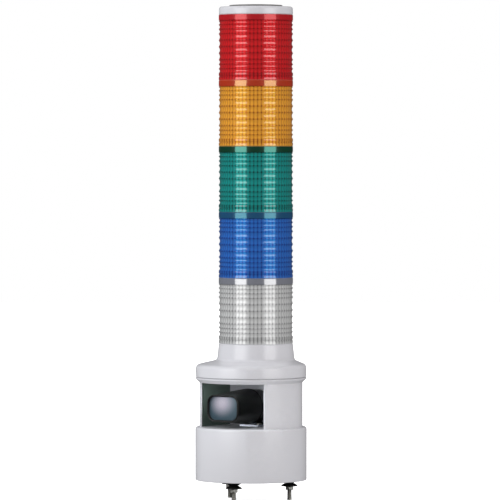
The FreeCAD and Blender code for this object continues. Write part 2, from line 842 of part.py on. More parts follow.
def lamp_core(index):
    """Square post of four circuit boards with rows of LED packages on every side."""
    low = tier_floor(index) + tier_seal_t + ledge_t + tier_disc_t
    half = lamp_core_w / 2
    inner = half - lamp_core_wall
    y = tower_offset
    post = block((-half, half), (y - half, y + half), (low, low + lamp_core_h))
    packages = []
    step = lamp_core_h / lamp_rows
    for row in range(lamp_rows):
        z = low + (row + 0.5) * step
        span = (z - lamp_size / 2, z + lamp_size / 2)
        reach = half + lamp_t
        packages.append(block((-reach, reach), (y - lamp_size / 2, y + lamp_size / 2), span))
        packages.append(block((-lamp_size / 2, lamp_size / 2), (y - reach, y + reach), span))
    hollow = block((-inner, inner), (y - inner, y + inner), (low - past, low + lamp_core_h + past))
    return fused([post] + packages).cut(hollow)


def tier_seals():
    """One flat ring under each lens and one under the cap."""
    floors = [tier_floor(i) for i in range(len(tier_colours))] + [tower_top_z - tier_seal_t]
    outer = lens_r - tier_seal_inset
    return Part.makeCompound([ring(lens_bore_r - ledge_w, outer, z, z + tier_seal_t, tower_axis)
                              for z in floors])


# ---- tie rods and cap ---------------------------------------------------------------------

def tie_rods():
    return Part.makeCompound([disc(rod_r, rod_foot_z, rod_top_z, place) for place in rod_places])


def rod_nuts():
    return Part.makeCompound([
        nut(rod_nut_across_flats, rod_r + thread_gap, rod_pocket_z, rod_pocket_z + rod_nut_t, place)
        for place in rod_places])


def top_cap():
    """Shallow cap with bosses that the tie rods pull down on."""
    hollow_r = cap_r - cap_wall
    under = cap_z - cap_top_t
    shell = turned([(hollow_r, tower_top_z, 0), (cap_r, tower_top_z, edge_round), (cap_r, cap_z, cap_round),
                    (0, cap_z, 0), (0, under, 0), (hollow_r, under, edge_round)], tower_axis)
    bosses = [disc(rod_pocket_r + cap_boss_wall, rod_pocket_z - cap_top_t, under + cap_top_t / 2, place)
              for place in rod_places]
    cuts = [disc(rod_hole_r, tower_top_z - past, cap_z + past, place) for place in rod_places]
    cuts += [disc(rod_pocket_r, rod_pocket_z, cap_z + past, place) for place in rod_places]
    return fused([shell] + bosses).cut(cuts)


def cap_disc():
    top = cap_z + cap_disc_t
    return turned([(0, cap_z, 0), (cap_disc_r, cap_z, 0), (cap_disc_r, top, edge_round), (0, top, 0)],
                  tower_axis)


# ---- export -------------------------------------------------------------------------------

def all_nodes():
    nodes = {
        "mounting_studs": mounting_studs(),
        "stud_washers": stud_washers(),
        "stud_nuts": stud_nuts(),
        "base_housing": base_housing(),
        "base_plate": base_plate(),
        "plate_screws": plate_screws(),
        "cable_grommet": cable_grommet(),
        "board_standoffs": board_standoffs(),
        "control_board": control_board(),
        "terminal_block": terminal_block(),
        "board_components": board_components(),
        "horn_housing": horn_housing(),
        "wiring_screen_left": wiring_screen_left(),
        "wiring_screen_right": wiring_screen_right(),
        "clamp_screws": clamp_screws(),
        "horn_bell": horn_bell(),
        "horn_gauze": horn_gauze(),
        "horn_diaphragm": horn_diaphragm(),
        "horn_driver": horn_driver(),
        "driver_terminals": driver_terminals(),
        "horn_bracket": horn_bracket(),
        "bracket_bolt": bracket_bolt(),
        "bracket_screws": bracket_screws(),
        "cover_seal": cover_seal(),
        "top_cover": top_cover(),
        "tower_seat": tower_seat(),
        "tier_seals": tier_seals(),
        "tie_rods": tie_rods(),
        "rod_nuts": rod_nuts(),
        "top_cap": top_cap(),
        "cap_disc": cap_disc(),
    }
    for index, colour in enumerate(tier_colours):
        nodes["lens_" + colour] = lens(index)
        nodes["tier_disc_" + colour] = tier_disc(index)
        nodes["lamp_core_" + colour] = lamp_core(index)
    return nodes


os.makedirs("parts", exist_ok=True)
for name, shape in all_nodes().items():
    if not shape.isValid() or not shape.Solids:
        raise ValueError(name + " is not a valid solid")
    shape.exportStep("parts/" + name + ".step")
    print(name, len(shape.Solids), round(shape.Volume, 1))
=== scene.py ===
import math

import bpy
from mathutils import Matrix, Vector


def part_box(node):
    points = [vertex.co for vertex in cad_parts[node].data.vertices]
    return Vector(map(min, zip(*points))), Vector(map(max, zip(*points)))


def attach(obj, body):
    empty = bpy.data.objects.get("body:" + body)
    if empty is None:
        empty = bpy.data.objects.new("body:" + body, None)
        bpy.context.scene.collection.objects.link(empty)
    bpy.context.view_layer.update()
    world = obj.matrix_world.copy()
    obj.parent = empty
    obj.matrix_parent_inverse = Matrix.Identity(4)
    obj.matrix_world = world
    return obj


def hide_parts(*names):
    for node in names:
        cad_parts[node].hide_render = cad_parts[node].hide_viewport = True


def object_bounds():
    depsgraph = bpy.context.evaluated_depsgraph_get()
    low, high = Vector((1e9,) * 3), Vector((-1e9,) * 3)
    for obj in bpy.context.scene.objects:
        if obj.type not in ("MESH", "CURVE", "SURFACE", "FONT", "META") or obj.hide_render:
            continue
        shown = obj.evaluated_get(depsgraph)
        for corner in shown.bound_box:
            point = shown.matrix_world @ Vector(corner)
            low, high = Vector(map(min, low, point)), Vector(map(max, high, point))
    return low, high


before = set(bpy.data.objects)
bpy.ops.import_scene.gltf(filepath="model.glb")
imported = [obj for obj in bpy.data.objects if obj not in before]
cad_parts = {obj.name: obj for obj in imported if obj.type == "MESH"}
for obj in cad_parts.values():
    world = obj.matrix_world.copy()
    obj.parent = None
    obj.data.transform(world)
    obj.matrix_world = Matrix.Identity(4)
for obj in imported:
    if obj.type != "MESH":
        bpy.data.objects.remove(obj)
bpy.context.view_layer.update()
body = "root"
mm = 0.001
mergeGap = 0.002 * mm  # points closer than this are one
near = 0.01 * mm


def fromHex(text):  # sRGB hex to linear colour
    steps = [int(text[i:i + 2], 16) / 255 for i in (0, 2, 4)]
    return tuple(c / 12.92 if c <= 0.04045 else ((c + 0.055) / 1.055) ** 2.4 for c in steps) + (1.0,)


def addNode(tree, kind, inputs=None, **settings):
    node = tree.nodes.new(kind)
    for name, value in settings.items():
        setattr(node, name, value)
    for name, value in (inputs or {}).items():
        if isinstance(value, bpy.types.NodeSocket):
            tree.links.new(value, node.inputs[name])
        else:
            node.inputs[name].default_value = value
    return node


def newMaterial(name):
    material = bpy.data.materials.new(name)
    material.use_nodes = True
    tree = material.node_tree
    tree.nodes.clear()
    output = addNode(tree, "ShaderNodeOutputMaterial")
    place = addNode(tree, "ShaderNodeTexCoord").outputs["Object"]
    return material, tree, output, place


def deselectAll():
    active = bpy.context.view_layer.objects.active
    if active and active.mode != "OBJECT":
        bpy.ops.object.mode_set(mode="OBJECT")
    bpy.ops.object.select_all(action="DESELECT")


def activate(piece):
    deselectAll()
    piece.select_set(True)
    bpy.context.view_layer.objects.active = piece


def settle(piece):  # transforms into the mesh, so that the object sits at the origin
    activate(piece)
    bpy.ops.object.transform_apply(location=True, rotation=True, scale=True)
    return piece


def smoothBy(piece, degrees):
    activate(piece)
    bpy.ops.object.shade_smooth_by_angle(angle=math.radians(degrees))


def dress(piece, slot, *nodes):
    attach(piece, body)
    if nodes:
        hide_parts(*nodes)
    return piece


def paint(piece, material):
    piece.data.materials.clear()
    piece.data.materials.append(material)


def spinProfile(name, points, centre, steps):
    # a chain of (radius, height) points, drawn one extrusion at a time and spun round an upright axis
    deselectAll()
    start = Vector((centre[0] + points[0][0], centre[1], points[0][1]))
    bpy.ops.mesh.primitive_plane_add(size=mm, location=start)
    piece = bpy.context.object
    piece.name = name
    bpy.ops.object.transform_apply(location=True)
    bpy.ops.object.mode_set(mode="EDIT")
    bpy.ops.mesh.select_all(action="SELECT")
    bpy.ops.mesh.merge(type="CENTER")
    for last, here in zip(points, points[1:]):
        step = (here[0] - last[0], 0, here[1] - last[1])
        bpy.ops.mesh.extrude_region_move(TRANSFORM_OT_translate={"value": step})
    bpy.ops.mesh.select_all(action="SELECT")
    bpy.ops.mesh.spin(steps=steps, angle=2 * math.pi, center=(centre[0], centre[1], 0), axis=(0, 0, 1))
    bpy.ops.mesh.select_all(action="SELECT")
    bpy.ops.mesh.remove_doubles(threshold=mergeGap)
    bpy.ops.mesh.normals_make_consistent(inside=False)
    bpy.ops.object.mode_set(mode="OBJECT")
    return piece


def softened(corners, steps=6):
    # (radius, height, round) corners of a closed profile to points, with each round drawn as short chords
    points = []
    for i, (radius, height, soft) in enumerate(corners):
        here = Vector((radius, height))
        if soft == 0:
            points.append((radius, height))
            continue
        back = (Vector(corners[i - 1][:2]) - here).normalized()
        ahead = (Vector(corners[(i + 1) % len(corners)][:2]) - here).normalized()
        run = soft / math.tan(back.angle(ahead) / 2)
        for step in range(steps + 1):
            t = step / steps
            point = here + back * run * (1 - t) ** 2 + ahead * run * t ** 2
            points.append((point.x, point.y))
    return points + [points[0]]


def ringShell(name, rings, steps):
    # a shell grown ring by ring; each ring is (shift along Y, radius, height)
    deselectAll()
    bpy.ops.mesh.primitive_circle_add(vertices=steps, radius=rings[0][1], fill_type="NOTHING",
                                      location=(0, rings[0][0], rings[0][2]))
    piece = bpy.context.object
    piece.name = name
    bpy.ops.object.transform_apply(location=True)
    bpy.ops.object.mode_set(mode="EDIT")
    bpy.ops.mesh.select_all(action="SELECT")
    for last, here in zip(rings, rings[1:]):
        step = (0, here[0] - last[0], here[2] - last[2])
        bpy.ops.mesh.extrude_region_move(TRANSFORM_OT_translate={"value": step})
        scale = here[1] / last[1]
        bpy.ops.transform.resize(value=(scale, scale, 1), center_override=(0, here[0], here[2]))
    bpy.ops.mesh.select_all(action="SELECT")
    bpy.ops.mesh.remove_doubles(threshold=mergeGap)
    bpy.ops.mesh.normals_make_consistent(inside=False)
    bpy.ops.object.mode_set(mode="OBJECT")
    return piece


def joined(pieces):
    deselectAll()
    for piece in pieces:
        piece.select_set(True)
    bpy.context.view_layer.objects.active = pieces[0]
    bpy.ops.object.join()
    return pieces[0]


def copyOf(piece, name, lift):
    twin = piece.copy()
    twin.data = piece.data.copy()
    twin.name = name
    bpy.context.scene.collection.objects.link(twin)
    twin.location.z = lift
    return settle(twin)


def smoothCopy(node, name, material, slot, degrees=28):
    # a CAD node is loose triangles, so a copy of it is merged and shaded smooth
    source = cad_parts[node]
    deselectAll()
    piece = bpy.data.objects.new(name, source.data.copy())
    bpy.context.scene.collection.objects.link(piece)
    activate(piece)
    bpy.ops.object.mode_set(mode="EDIT")
    bpy.ops.mesh.select_all(action="SELECT")
    bpy.ops.mesh.remove_doubles(threshold=mergeGap)
    bpy.ops.object.mode_set(mode="OBJECT")
    smoothBy(piece, degrees)
    paint(piece, material)
    return dress(piece, slot, node)


def mouldedFinish(name, shade, tint, grain, roughness, shine=0.35):
    # moulded ABS and rubber, enamel and solder mask: even and satin, with a skin that softens the
    # highlights; the skin's grain is drawn coarser than the real one, which is too fine to show
    material, tree, output, place = newMaterial(name)
    clouds = addNode(tree, "ShaderNodeTexNoise", {"Vector": place, "Scale": 1 / (120 * mm), "Detail": 1.0})
    colour = addNode(tree, "ShaderNodeMix", {"Factor": clouds.outputs["Fac"], "A": fromHex(shade),
                                             "B": fromHex(tint)}, data_type="RGBA")
    skin = addNode(tree, "ShaderNodeTexNoise", {"Vector": place, "Scale": 1 / (grain * mm), "Detail": 1.0})
    bump = addNode(tree, "ShaderNodeBump", {"Height": skin.outputs["Fac"], "Strength": 0.06,
                                            "Distance": 0.05 * mm})
    gloss = addNode(tree, "ShaderNodeMapRange", {"Value": skin.outputs["Fac"], "To Min": roughness - 0.02,
                                                 "To Max": roughness + 0.02})
    shader = addNode(tree, "ShaderNodeBsdfPrincipled",
                     {"Base Color": colour.outputs["Result"], "Roughness": gloss.outputs["Result"],
                      "IOR": 1.54, "Specular IOR Level": shine, "Normal": bump.outputs["Normal"]})
    tree.links.new(shader.outputs[0], output.inputs["Surface"])
    return material


resinLook = {
    "lineStart": 0.0, "lineEnd": 0.9,  # share of the flute wave over which its line of painted shade darkens
    "lineWeight": 0.5, "crestWeight": 0.4, "dotWeight": 0.4,  # painted shade on flute lines, on ring crests, and more where they cross
    "ringCoat": 0.8, "bandCoat": 0.3,
    "flashShare": 0.2, "flashRoughness": 0.12,
}


def tintedResin(name, bandShade, lineShade, tint, gleam, bandGleam, axisY):
    # coloured AS resin: a sharp clear skin over a deep colour, with painted shade along the flutes and the ring
    # crests where they bend the light, and a coloured gleam that the upright bore behind throws back through
    # the wall
    material, tree, output, place = newMaterial(name)
    offset = addNode(tree, "ShaderNodeVectorMath", {0: place, 1: (0, -axisY, 0)}, operation="ADD")
    axes = addNode(tree, "ShaderNodeSeparateXYZ", {"Vector": offset.outputs["Vector"]})
    turn = addNode(tree, "ShaderNodeMath", {0: axes.outputs["Y"], 1: axes.outputs["X"]},
                   operation="ARCTAN2")
    phase = addNode(tree, "ShaderNodeMath", {0: turn.outputs[0], 1: float(lensForm["flutes"])},
                    operation="MULTIPLY")
    wave = addNode(tree, "ShaderNodeMath", {0: phase.outputs[0]}, operation="COSINE")
    line = addNode(tree, "ShaderNodeMapRange", {"Value": wave.outputs[0], "From Min": resinLook["lineStart"],
                                                 "From Max": resinLook["lineEnd"]})
    flat = addNode(tree, "ShaderNodeVectorMath", {0: offset.outputs["Vector"], 1: (1, 1, 0)},
                   operation="MULTIPLY")
    outward = addNode(tree, "ShaderNodeVectorMath", {0: flat.outputs["Vector"]}, operation="NORMALIZE")
    crest = addNode(tree, "ShaderNodeAttribute", attribute_name="crest")
    band = addNode(tree, "ShaderNodeAttribute", attribute_name="band")
    # painted shade: darker along the flute lines and ring crests, darkest where they cross
    dots = addNode(tree, "ShaderNodeMath", {0: line.outputs["Result"], 1: crest.outputs["Fac"]},
                   operation="MULTIPLY")
    first = addNode(tree, "ShaderNodeMath", {0: line.outputs["Result"], 1: resinLook["lineWeight"], 2: 0.0},
                    operation="MULTIPLY_ADD")
    second = addNode(tree, "ShaderNodeMath", {0: crest.outputs["Fac"], 1: resinLook["crestWeight"],
                                              2: first.outputs[0]}, operation="MULTIPLY_ADD")
    dark = addNode(tree, "ShaderNodeMath", {0: dots.outputs[0], 1: resinLook["dotWeight"],
                                            2: second.outputs[0]}, operation="MULTIPLY_ADD", use_clamp=True)

    def banded(light, shade, plain):
        lined = addNode(tree, "ShaderNodeMix", {"Factor": dark.outputs[0], "A": fromHex(light),
                                                "B": fromHex(shade)}, data_type="RGBA")
        return addNode(tree, "ShaderNodeMix", {"Factor": band.outputs["Fac"], "A": lined.outputs["Result"],
                                               "B": fromHex(plain)}, data_type="RGBA").outputs["Result"]

    skin = addNode(tree, "ShaderNodeMapRange", {"Value": band.outputs["Fac"], "To Min": resinLook["ringCoat"],
                                                "To Max": resinLook["bandCoat"]})
    depth = addNode(tree, "ShaderNodeBsdfPrincipled",
                    {"Base Color": banded(tint, lineShade, bandShade), "Roughness": 0.35, "IOR": 1.5,
                     "Specular IOR Level": 0.1, "Transmission Weight": 0.15,
                     "Coat Weight": skin.outputs["Result"], "Coat Roughness": 0.03, "Coat IOR": 1.6})
    flash = addNode(tree, "ShaderNodeBsdfAnisotropic", {"Color": banded(gleam, lineShade, bandGleam),
                                                        "Roughness": resinLook["flashRoughness"],
                                                        "Normal": outward.outputs["Vector"]})
    both = addNode(tree, "ShaderNodeMixShader", {0: resinLook["flashShare"], 1: depth.outputs[0],
                                                 2: flash.outputs[0]})
    tree.links.new(both.outputs[0], output.inputs["Surface"])
    return material


def sealLitByLenses(name, roughness):
    # clear silicone: each thin seal is painted with the coloured light of the lenses that it lies between
    material, tree, output, place = newMaterial(name)
    axes = addNode(tree, "ShaderNodeSeparateXYZ", {"Vector": place})
    low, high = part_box("lens_clear")[0].z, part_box("lens_red")[1].z
    up = addNode(tree, "ShaderNodeMapRange", {"Value": axes.outputs["Z"], "From Min": low, "From Max": high})
    ramp = addNode(tree, "ShaderNodeValToRGB", {"Fac": up.outputs["Result"]})
    ramp.color_ramp.interpolation = "CONSTANT"
    # painted light from the lenses on either side of each seal, from the bottom up
    shades = ("C2C1C6", "71768E", "2D5570", "816938", "B9482F", "B4ADB0")
    for index, shade in enumerate(shades):
        start = max(0, (index - 0.5) / (len(shades) - 1))
        stops = ramp.color_ramp.elements
        stop = stops[0] if index == 0 else stops[1] if index == 1 else stops.new(start)
        stop.position = start
        stop.color = fromHex(shade)
    shader = addNode(tree, "ShaderNodeBsdfPrincipled",
                     {"Base Color": ramp.outputs["Color"], "Roughness": roughness, "IOR": 1.43})
    tree.links.new(shader.outputs[0], output.inputs["Surface"])
    return material


def plainMetal(name, shade, tint, roughness, scale):
    # zinc-plated or rolled metal: bright, with fine uneven patches left by the bath or the rolls
    material, tree, output, place = newMaterial(name)
    patches = addNode(tree, "ShaderNodeTexNoise", {"Vector": place, "Scale": 1 / (scale * mm), "Detail": 4.0})
    colour = addNode(tree, "ShaderNodeMix", {"Factor": patches.outputs["Fac"], "A": fromHex(shade),
                                             "B": fromHex(tint)}, data_type="RGBA")
    gloss = addNode(tree, "ShaderNodeMapRange", {"Value": patches.outputs["Fac"], "To Min": roughness - 0.08,
                                                 "To Max": roughness + 0.08})
    bump = addNode(tree, "ShaderNodeBump", {"Height": patches.outputs["Fac"], "Strength": 0.15,
                                            "Distance": 0.02 * mm})
    shader = addNode(tree, "ShaderNodeBsdfPrincipled",
                     {"Base Color": colour.outputs["Result"], "Roughness": gloss.outputs["Result"],
                      "Metallic": 1.0, "Normal": bump.outputs["Normal"]})
    tree.links.new(shader.outputs[0], output.inputs["Surface"])
    return material


def wovenGauze(name, shade, tint, pitch, rim, crown, reach):
    # fine woven wire: crossed ridges at the wire pitch, drawn coarse enough to show close up; with a
    # painted highlight at the crown and painted shade towards the rim
    material, tree, output, place = newMaterial(name)
    axes = addNode(tree, "ShaderNodeSeparateXYZ", {"Vector": place})
    waves = []
    for axis in ("X", "Z"):
        turn = addNode(tree, "ShaderNodeMath", {0: axes.outputs[axis], 1: 2 * math.pi / (pitch * mm)},
                       operation="MULTIPLY")
        waves.append(addNode(tree, "ShaderNodeMath", {0: turn.outputs[0]}, operation="SINE"))
    weave = addNode(tree, "ShaderNodeMath", {0: waves[0].outputs[0], 1: waves[1].outputs[0]},
                    operation="MULTIPLY")
    level = addNode(tree, "ShaderNodeMapRange", {"Value": weave.outputs[0], "From Min": -1.0})
    colour = addNode(tree, "ShaderNodeMix", {"Factor": level.outputs["Result"], "A": fromHex(shade),
                                             "B": fromHex(tint)}, data_type="RGBA")
    # painted highlight centred here, fading into painted shade towards the rim
    off = addNode(tree, "ShaderNodeVectorMath", {0: place, 1: crown}, operation="SUBTRACT")
    flat = addNode(tree, "ShaderNodeVectorMath", {0: off.outputs["Vector"], 1: (1, 0, 1.1)},
                   operation="MULTIPLY")
    far = addNode(tree, "ShaderNodeVectorMath", {0: flat.outputs["Vector"]}, operation="LENGTH")
    fade = addNode(tree, "ShaderNodeMapRange", {"Value": far.outputs["Value"], "From Min": reach[0],
                                                "From Max": reach[1]}, interpolation_type="SMOOTHSTEP")
    shaded = addNode(tree, "ShaderNodeMix", {"Factor": fade.outputs["Result"], "A": colour.outputs["Result"],
                                             "B": fromHex(rim)}, data_type="RGBA")
    bump = addNode(tree, "ShaderNodeBump", {"Height": level.outputs["Result"], "Strength": 0.4,
                                            "Distance": 0.1 * mm})
    shader = addNode(tree, "ShaderNodeBsdfPrincipled",
                     {"Base Color": shaded.outputs["Result"], "Roughness": 0.45, "Metallic": 0.2,
                      "Normal": bump.outputs["Normal"]})
    tree.links.new(shader.outputs[0], output.inputs["Surface"])
    return material


# satin white, a soft highlight down each side
whiteAbs = mouldedFinish("mouldedAbsWhite", "C9C8CD", "CBCACE", 0.6, 0.25, 0.3)
# matt mid grey on the cap, with no sharp highlight
greyAbs = mouldedFinish("mouldedAbsGrey", "6E6C6B", "787675", 0.5, 0.5)
# dull grey line between drum and cover
sealGrey = mouldedFinish("siliconeSeal", "9A989C", "A5A3A8", 0.5, 0.55)
tierSeal = sealLitByLenses("siliconeSealClear", 0.4)  # a thin line painted in the coloured light of the lenses beside it
# dark green grey wall, matt, behind the horn
darkPanel = mouldedFinish("mouldedPanelDark", "5A685F", "66746C", 0.5, 0.42)
# deep black with a faint satin sheen
blackMoulding = mouldedFinish("mouldedPpoBlack", "040504", "080A09", 0.8, 0.3, 0.35)
# black, a little glossier than the horn
blackEnamel = mouldedFinish("stovedEnamelBlack", "070707", "0C0C0C", 0.8, 0.28)
# soft black that takes no highlight
blackRubber = mouldedFinish("mouldedRubberBlack", "0A0A0A", "131313", 0.3, 0.6)
boardWhite = mouldedFinish("solderMaskWhite", "C9C8C2", "D3D2CC", 0.4, 0.45)  # creamy white, matt
boardGreen = mouldedFinish("solderMaskGreen", "12502B", "175C33", 0.4, 0.4)  # deep green with a light sheen
discGrey = mouldedFinish("mouldedAbsDisc", "8C8784", "979290", 0.5, 0.5)  # warm light grey, matt
componentBlack = mouldedFinish("mouldedEpoxyBlack", "151516", "1D1D1E", 0.3, 0.5)  # plain dull black
terminalGreen = mouldedFinish("mouldedPaGreen", "3E6B4A", "467552", 0.4, 0.45)  # dull green, satin
# bright grey with a faint patchy bloom
zincSteel = plainMetal("zincPlatedSteel", "A9A8A3", "C4C3BE", 0.3, 1.5)
tabBrass = plainMetal("tinnedBrass", "B59A5B", "C9B27A", 0.3, 1.0)  # pale yellow metal
alloyFoil = plainMetal("rolledAluminium", "B9BBBD", "CDCFD1", 0.25, 2.0)  # bright, smooth and cool grey
gauzeLow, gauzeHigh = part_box("horn_gauze")
gauzeHighlightLook = {"left": 1.5 * mm, "height": 0.72, "fade": (0.5 * mm, 19 * mm)}  # where its painted highlight lies
gauzeHighlightCentre = ((gauzeLow.x + gauzeHigh.x) / 2 - gauzeHighlightLook["left"], gauzeLow.y,
              gauzeLow.z * (1 - gauzeHighlightLook["height"]) + gauzeHigh.z * gauzeHighlightLook["height"])
# grey mesh, with a painted highlight in the middle and painted shade at the rim
gauzeSteel = wovenGauze("wovenSteelGauze", "908E9C", "B4ACB8", 0.6, "364C58", gauzeHighlightCentre, gauzeHighlightLook["fade"])
blueZinc = plainMetal("bluePassivatedZinc", "B0B8C6", "D0D6E0", 0.35, 1.5)  # silvery with a cool blue cast
print("materials made")


lensForm = {
    "wall": 3.0 * mm,
    "topBand": 5.85 * mm,
    "scallops": [(4.85 * mm, 3), (7.0 * mm, 4), (4.85 * mm, 3)],  # width and count, from the top
    "scallopDepth": 1.35 * mm,
    "crestSoftness": 0.22 * mm,
    "shares": (0.0, 0.025, 0.065, 0.13, 0.23, 0.36, 0.5, 0.64, 0.77, 0.87, 0.935, 0.975),
    "grooveDepth": 0.7 * mm, "grooveHeight": 0.8 * mm,  # under the top band
    "footGroove": (2.7 * mm, 3.8 * mm, 4.9 * mm), "footGrooveDepth": 0.7 * mm,  # in the plain foot
    "edgeRound": 0.3 * mm,
    "flutes": 60,
    "fluteDepth": 0.6 * mm,
    "columns": 240,
    "ledgeWidth": 3.5 * mm,
    "ledgeThickness": 2.0 * mm,
    "crestReach": 0.45,  # share of a ring's depth that its painted dark crest line takes
    # painted shade in the groove under the top band and in the foot groove
    "grooveDark": 1.6, "footGrooveDark": 0.6,
    "ringedDepth": 1.2,  # deeper than this share is the bore
}
lensColours = {  # hex of each resin: top band, painted shade lines, body, gleam, gleam of the top band
    "red": ("C01420", "8A060C", "E3161E", "842022", "98282A"),
    "amber": ("BA3012", "A05412", "FFB034", "686820", "B8A468"),
    "green": ("083E28", "04403E", "0A9A94", "2A7870", "3A9888"),
    "blue": ("1A5078", "123284", "2A70CE", "246480", "2E8088"),
    "clear": ("82848E", "888888", "DCDCDC", "909090", "D2D2D2"),
}


def lensRows(high, form):
    heights = [high - form["topBand"]]
    for width, count in form["scallops"]:
        heights += [heights[-1] - width * (i + 1) for i in range(count)]
    return heights


def hollowAt(share, form):
    plain = form["scallopDepth"] * (1 - (2 * share - 1) ** 2)
    soft = form["crestSoftness"]
    return math.hypot(plain, soft) - soft


def lensProfile(radius, low, high, form):
    bore = radius - form["wall"]
    soft = form["edgeRound"]
    heights = lensRows(high, form)
    points = [(radius - soft, low), (radius, low + soft)]
    points += [(radius - depth, low + rise) for rise, depth in zip(form["footGroove"],
                                                                   (0, form["footGrooveDepth"], 0))]
    for top, foot in reversed(list(zip(heights, heights[1:]))):
        for share in form["shares"]:
            if top == heights[0]:
                top = heights[0] - form["grooveHeight"]
            points.append((radius - hollowAt(share, form), foot + share * (top - foot)))
    points += [(radius - form["grooveDepth"] / 2, heights[0] - form["grooveHeight"]),
               (radius - form["grooveDepth"], heights[0]), (radius, heights[0]), (radius, high - soft),
               (radius - soft, high), (bore, high), (bore, low + form["ledgeThickness"]),
               (bore - form["ledgeWidth"], low + form["ledgeThickness"]), (bore - form["ledgeWidth"], low),
               points[0]]
    return points


def cutFlutes(piece, centre, form, radius):
    # draws the bore's columns in, so that V grooves run up it
    bore = radius - form["wall"]
    perFlute = form["columns"] // form["flutes"]
    for step in range(1, perFlute):
        share = 1 - abs(2 * step / perFlute - 1)
        scale = 1 - share * form["fluteDepth"] / bore
        activate(piece)
        bpy.ops.object.mode_set(mode="EDIT")
        bpy.ops.mesh.select_all(action="DESELECT")
        bpy.ops.object.mode_set(mode="OBJECT")
        for vertex in piece.data.vertices:
            x, y = vertex.co.x - centre.x, vertex.co.y - centre.y
            column = round(math.atan2(y, x) / (2 * math.pi) * form["columns"])
            vertex.select = abs(math.hypot(x, y) - bore) < 2 * near and column % perFlute == step
        bpy.ops.object.mode_set(mode="EDIT")
        bpy.ops.transform.resize(value=(scale, scale, 1), center_override=(centre.x, centre.y, 0))
        bpy.ops.object.mode_set(mode="OBJECT")


def markRows(piece, centre, radius, low, high, form):
    # marks the crests and the grooves for painted shade, and the plain top band, for the colour to use
    grooveFoot = form["grooveHeight"]
    crest = piece.data.attributes.new("crest", "FLOAT", "POINT")
    band = piece.data.attributes.new("band", "FLOAT", "POINT")
    rows = lensRows(high, form)
    foot = [low + rise for rise in form["footGroove"]]
    for index, vertex in enumerate(piece.data.vertices):
        reach = math.hypot(vertex.co.x - centre.x, vertex.co.y - centre.y)
        depth = (radius - reach) / form["scallopDepth"]
        outside = depth < form["ringedDepth"]
        ringed = outside and rows[-1] - near < vertex.co.z < rows[0] - grooveFoot
        crest.data[index].value = max(0.0, 1 - depth / form["crestReach"]) if ringed else 0.0
        # painted shade in the groove under the top band and in the foot groove
        if outside and rows[0] - grooveFoot * 1.01 < vertex.co.z < rows[0]:
            crest.data[index].value = form["grooveDark"]
        if outside and foot[0] - near < vertex.co.z < foot[2] + near:
            crest.data[index].value = form["footGrooveDark"]
        band.data[index].value = 1.0 if vertex.co.z > rows[0] - near else 0.0


def makeLenses():
    low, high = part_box("lens_red")
    centre = (low + high) / 2
    radius = (high.x - low.x) / 2
    first = spinProfile("lensRed", lensProfile(radius, low.z, high.z, lensForm), centre, lensForm["columns"])
    cutFlutes(first, centre, lensForm, radius)
    markRows(first, centre, radius, low.z, high.z, lensForm)
    pieces = {"red": first}
    for colour in list(lensColours)[1:]:  # copied before any of them stands for its own node
        pieces[colour] = copyOf(first, "lens" + colour.title(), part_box("lens_" + colour)[0].z - low.z)
    for colour, shades in lensColours.items():
        piece = pieces[colour]
        smoothBy(piece, 35)
        paint(piece, tintedResin("asResin" + colour.title(), *shades, centre.y))
        dress(piece, "lens_" + colour, "lens_" + colour)


makeLenses()
print("lenses made")


columns = 240  # round the base, housing, cover and cap
edgeRound = 0.4 * mm
baseForm = {"wall": 2.5 * mm, "topRound": 2.5 * mm, "footRound": 1.5 * mm, "deck": 3.0 * mm}


def makeBase(form):
    low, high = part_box("base_housing")
    radius = high.x
    bore = radius - form["wall"]
    under = high.z - form["deck"]
    profile = softened([(bore, low.z, 0), (radius, low.z, form["footRound"]),
                        (radius, high.z, form["topRound"]), (0, high.z, 0), (0, under, 0),
                        (bore, under, form["footRound"])])
    piece = spinProfile("baseHousing", profile, (0, 0), columns)
    smoothBy(piece, 30)
    paint(piece, whiteAbs)
    dress(piece, "white_abs", "base_housing")


makeBase(baseForm)
print("base made")

coverForm = {
    "step": 0.4 * mm,  # in from the base's side
    "wall": 2.5 * mm, "cornerRun": 4.1 * mm, "footRun": 2.6 * mm, "neckFlare": 1.9 * mm,
    "neckHeight": 17.3 * mm, "shoulderRise": 4.9 * mm,
    "cornerEnd": 0.22, "footStart": 0.84,  # shares of the shoulder's slope that the soft corners reach
    "lipWall": 3.4 * mm, "lipDepth": 6 * mm, "neckLedge": 3 * mm,
}
housingForm = {
    "drumStep": 4.5 * mm, "drumWall": 2.2 * mm, "drumHeight": 48.0 * mm, "windowHalfAngle": 48.0,
    "jambRound": 1.9 * mm, "jambSegments": 6,
    "chamfer": 3.8 * mm, "flangeEdge": 1.4 * mm, "flangeRound": 1.5 * mm, "ceiling": 2.4 * mm,
    "spigotHeight": 4.0 * mm, "spigotWall": 2.2 * mm, "spigotGap": 0.2 * mm,
    "postRadius": 3.1 * mm, "postCircle": 50.0 * mm, "postColumns": 48,
}


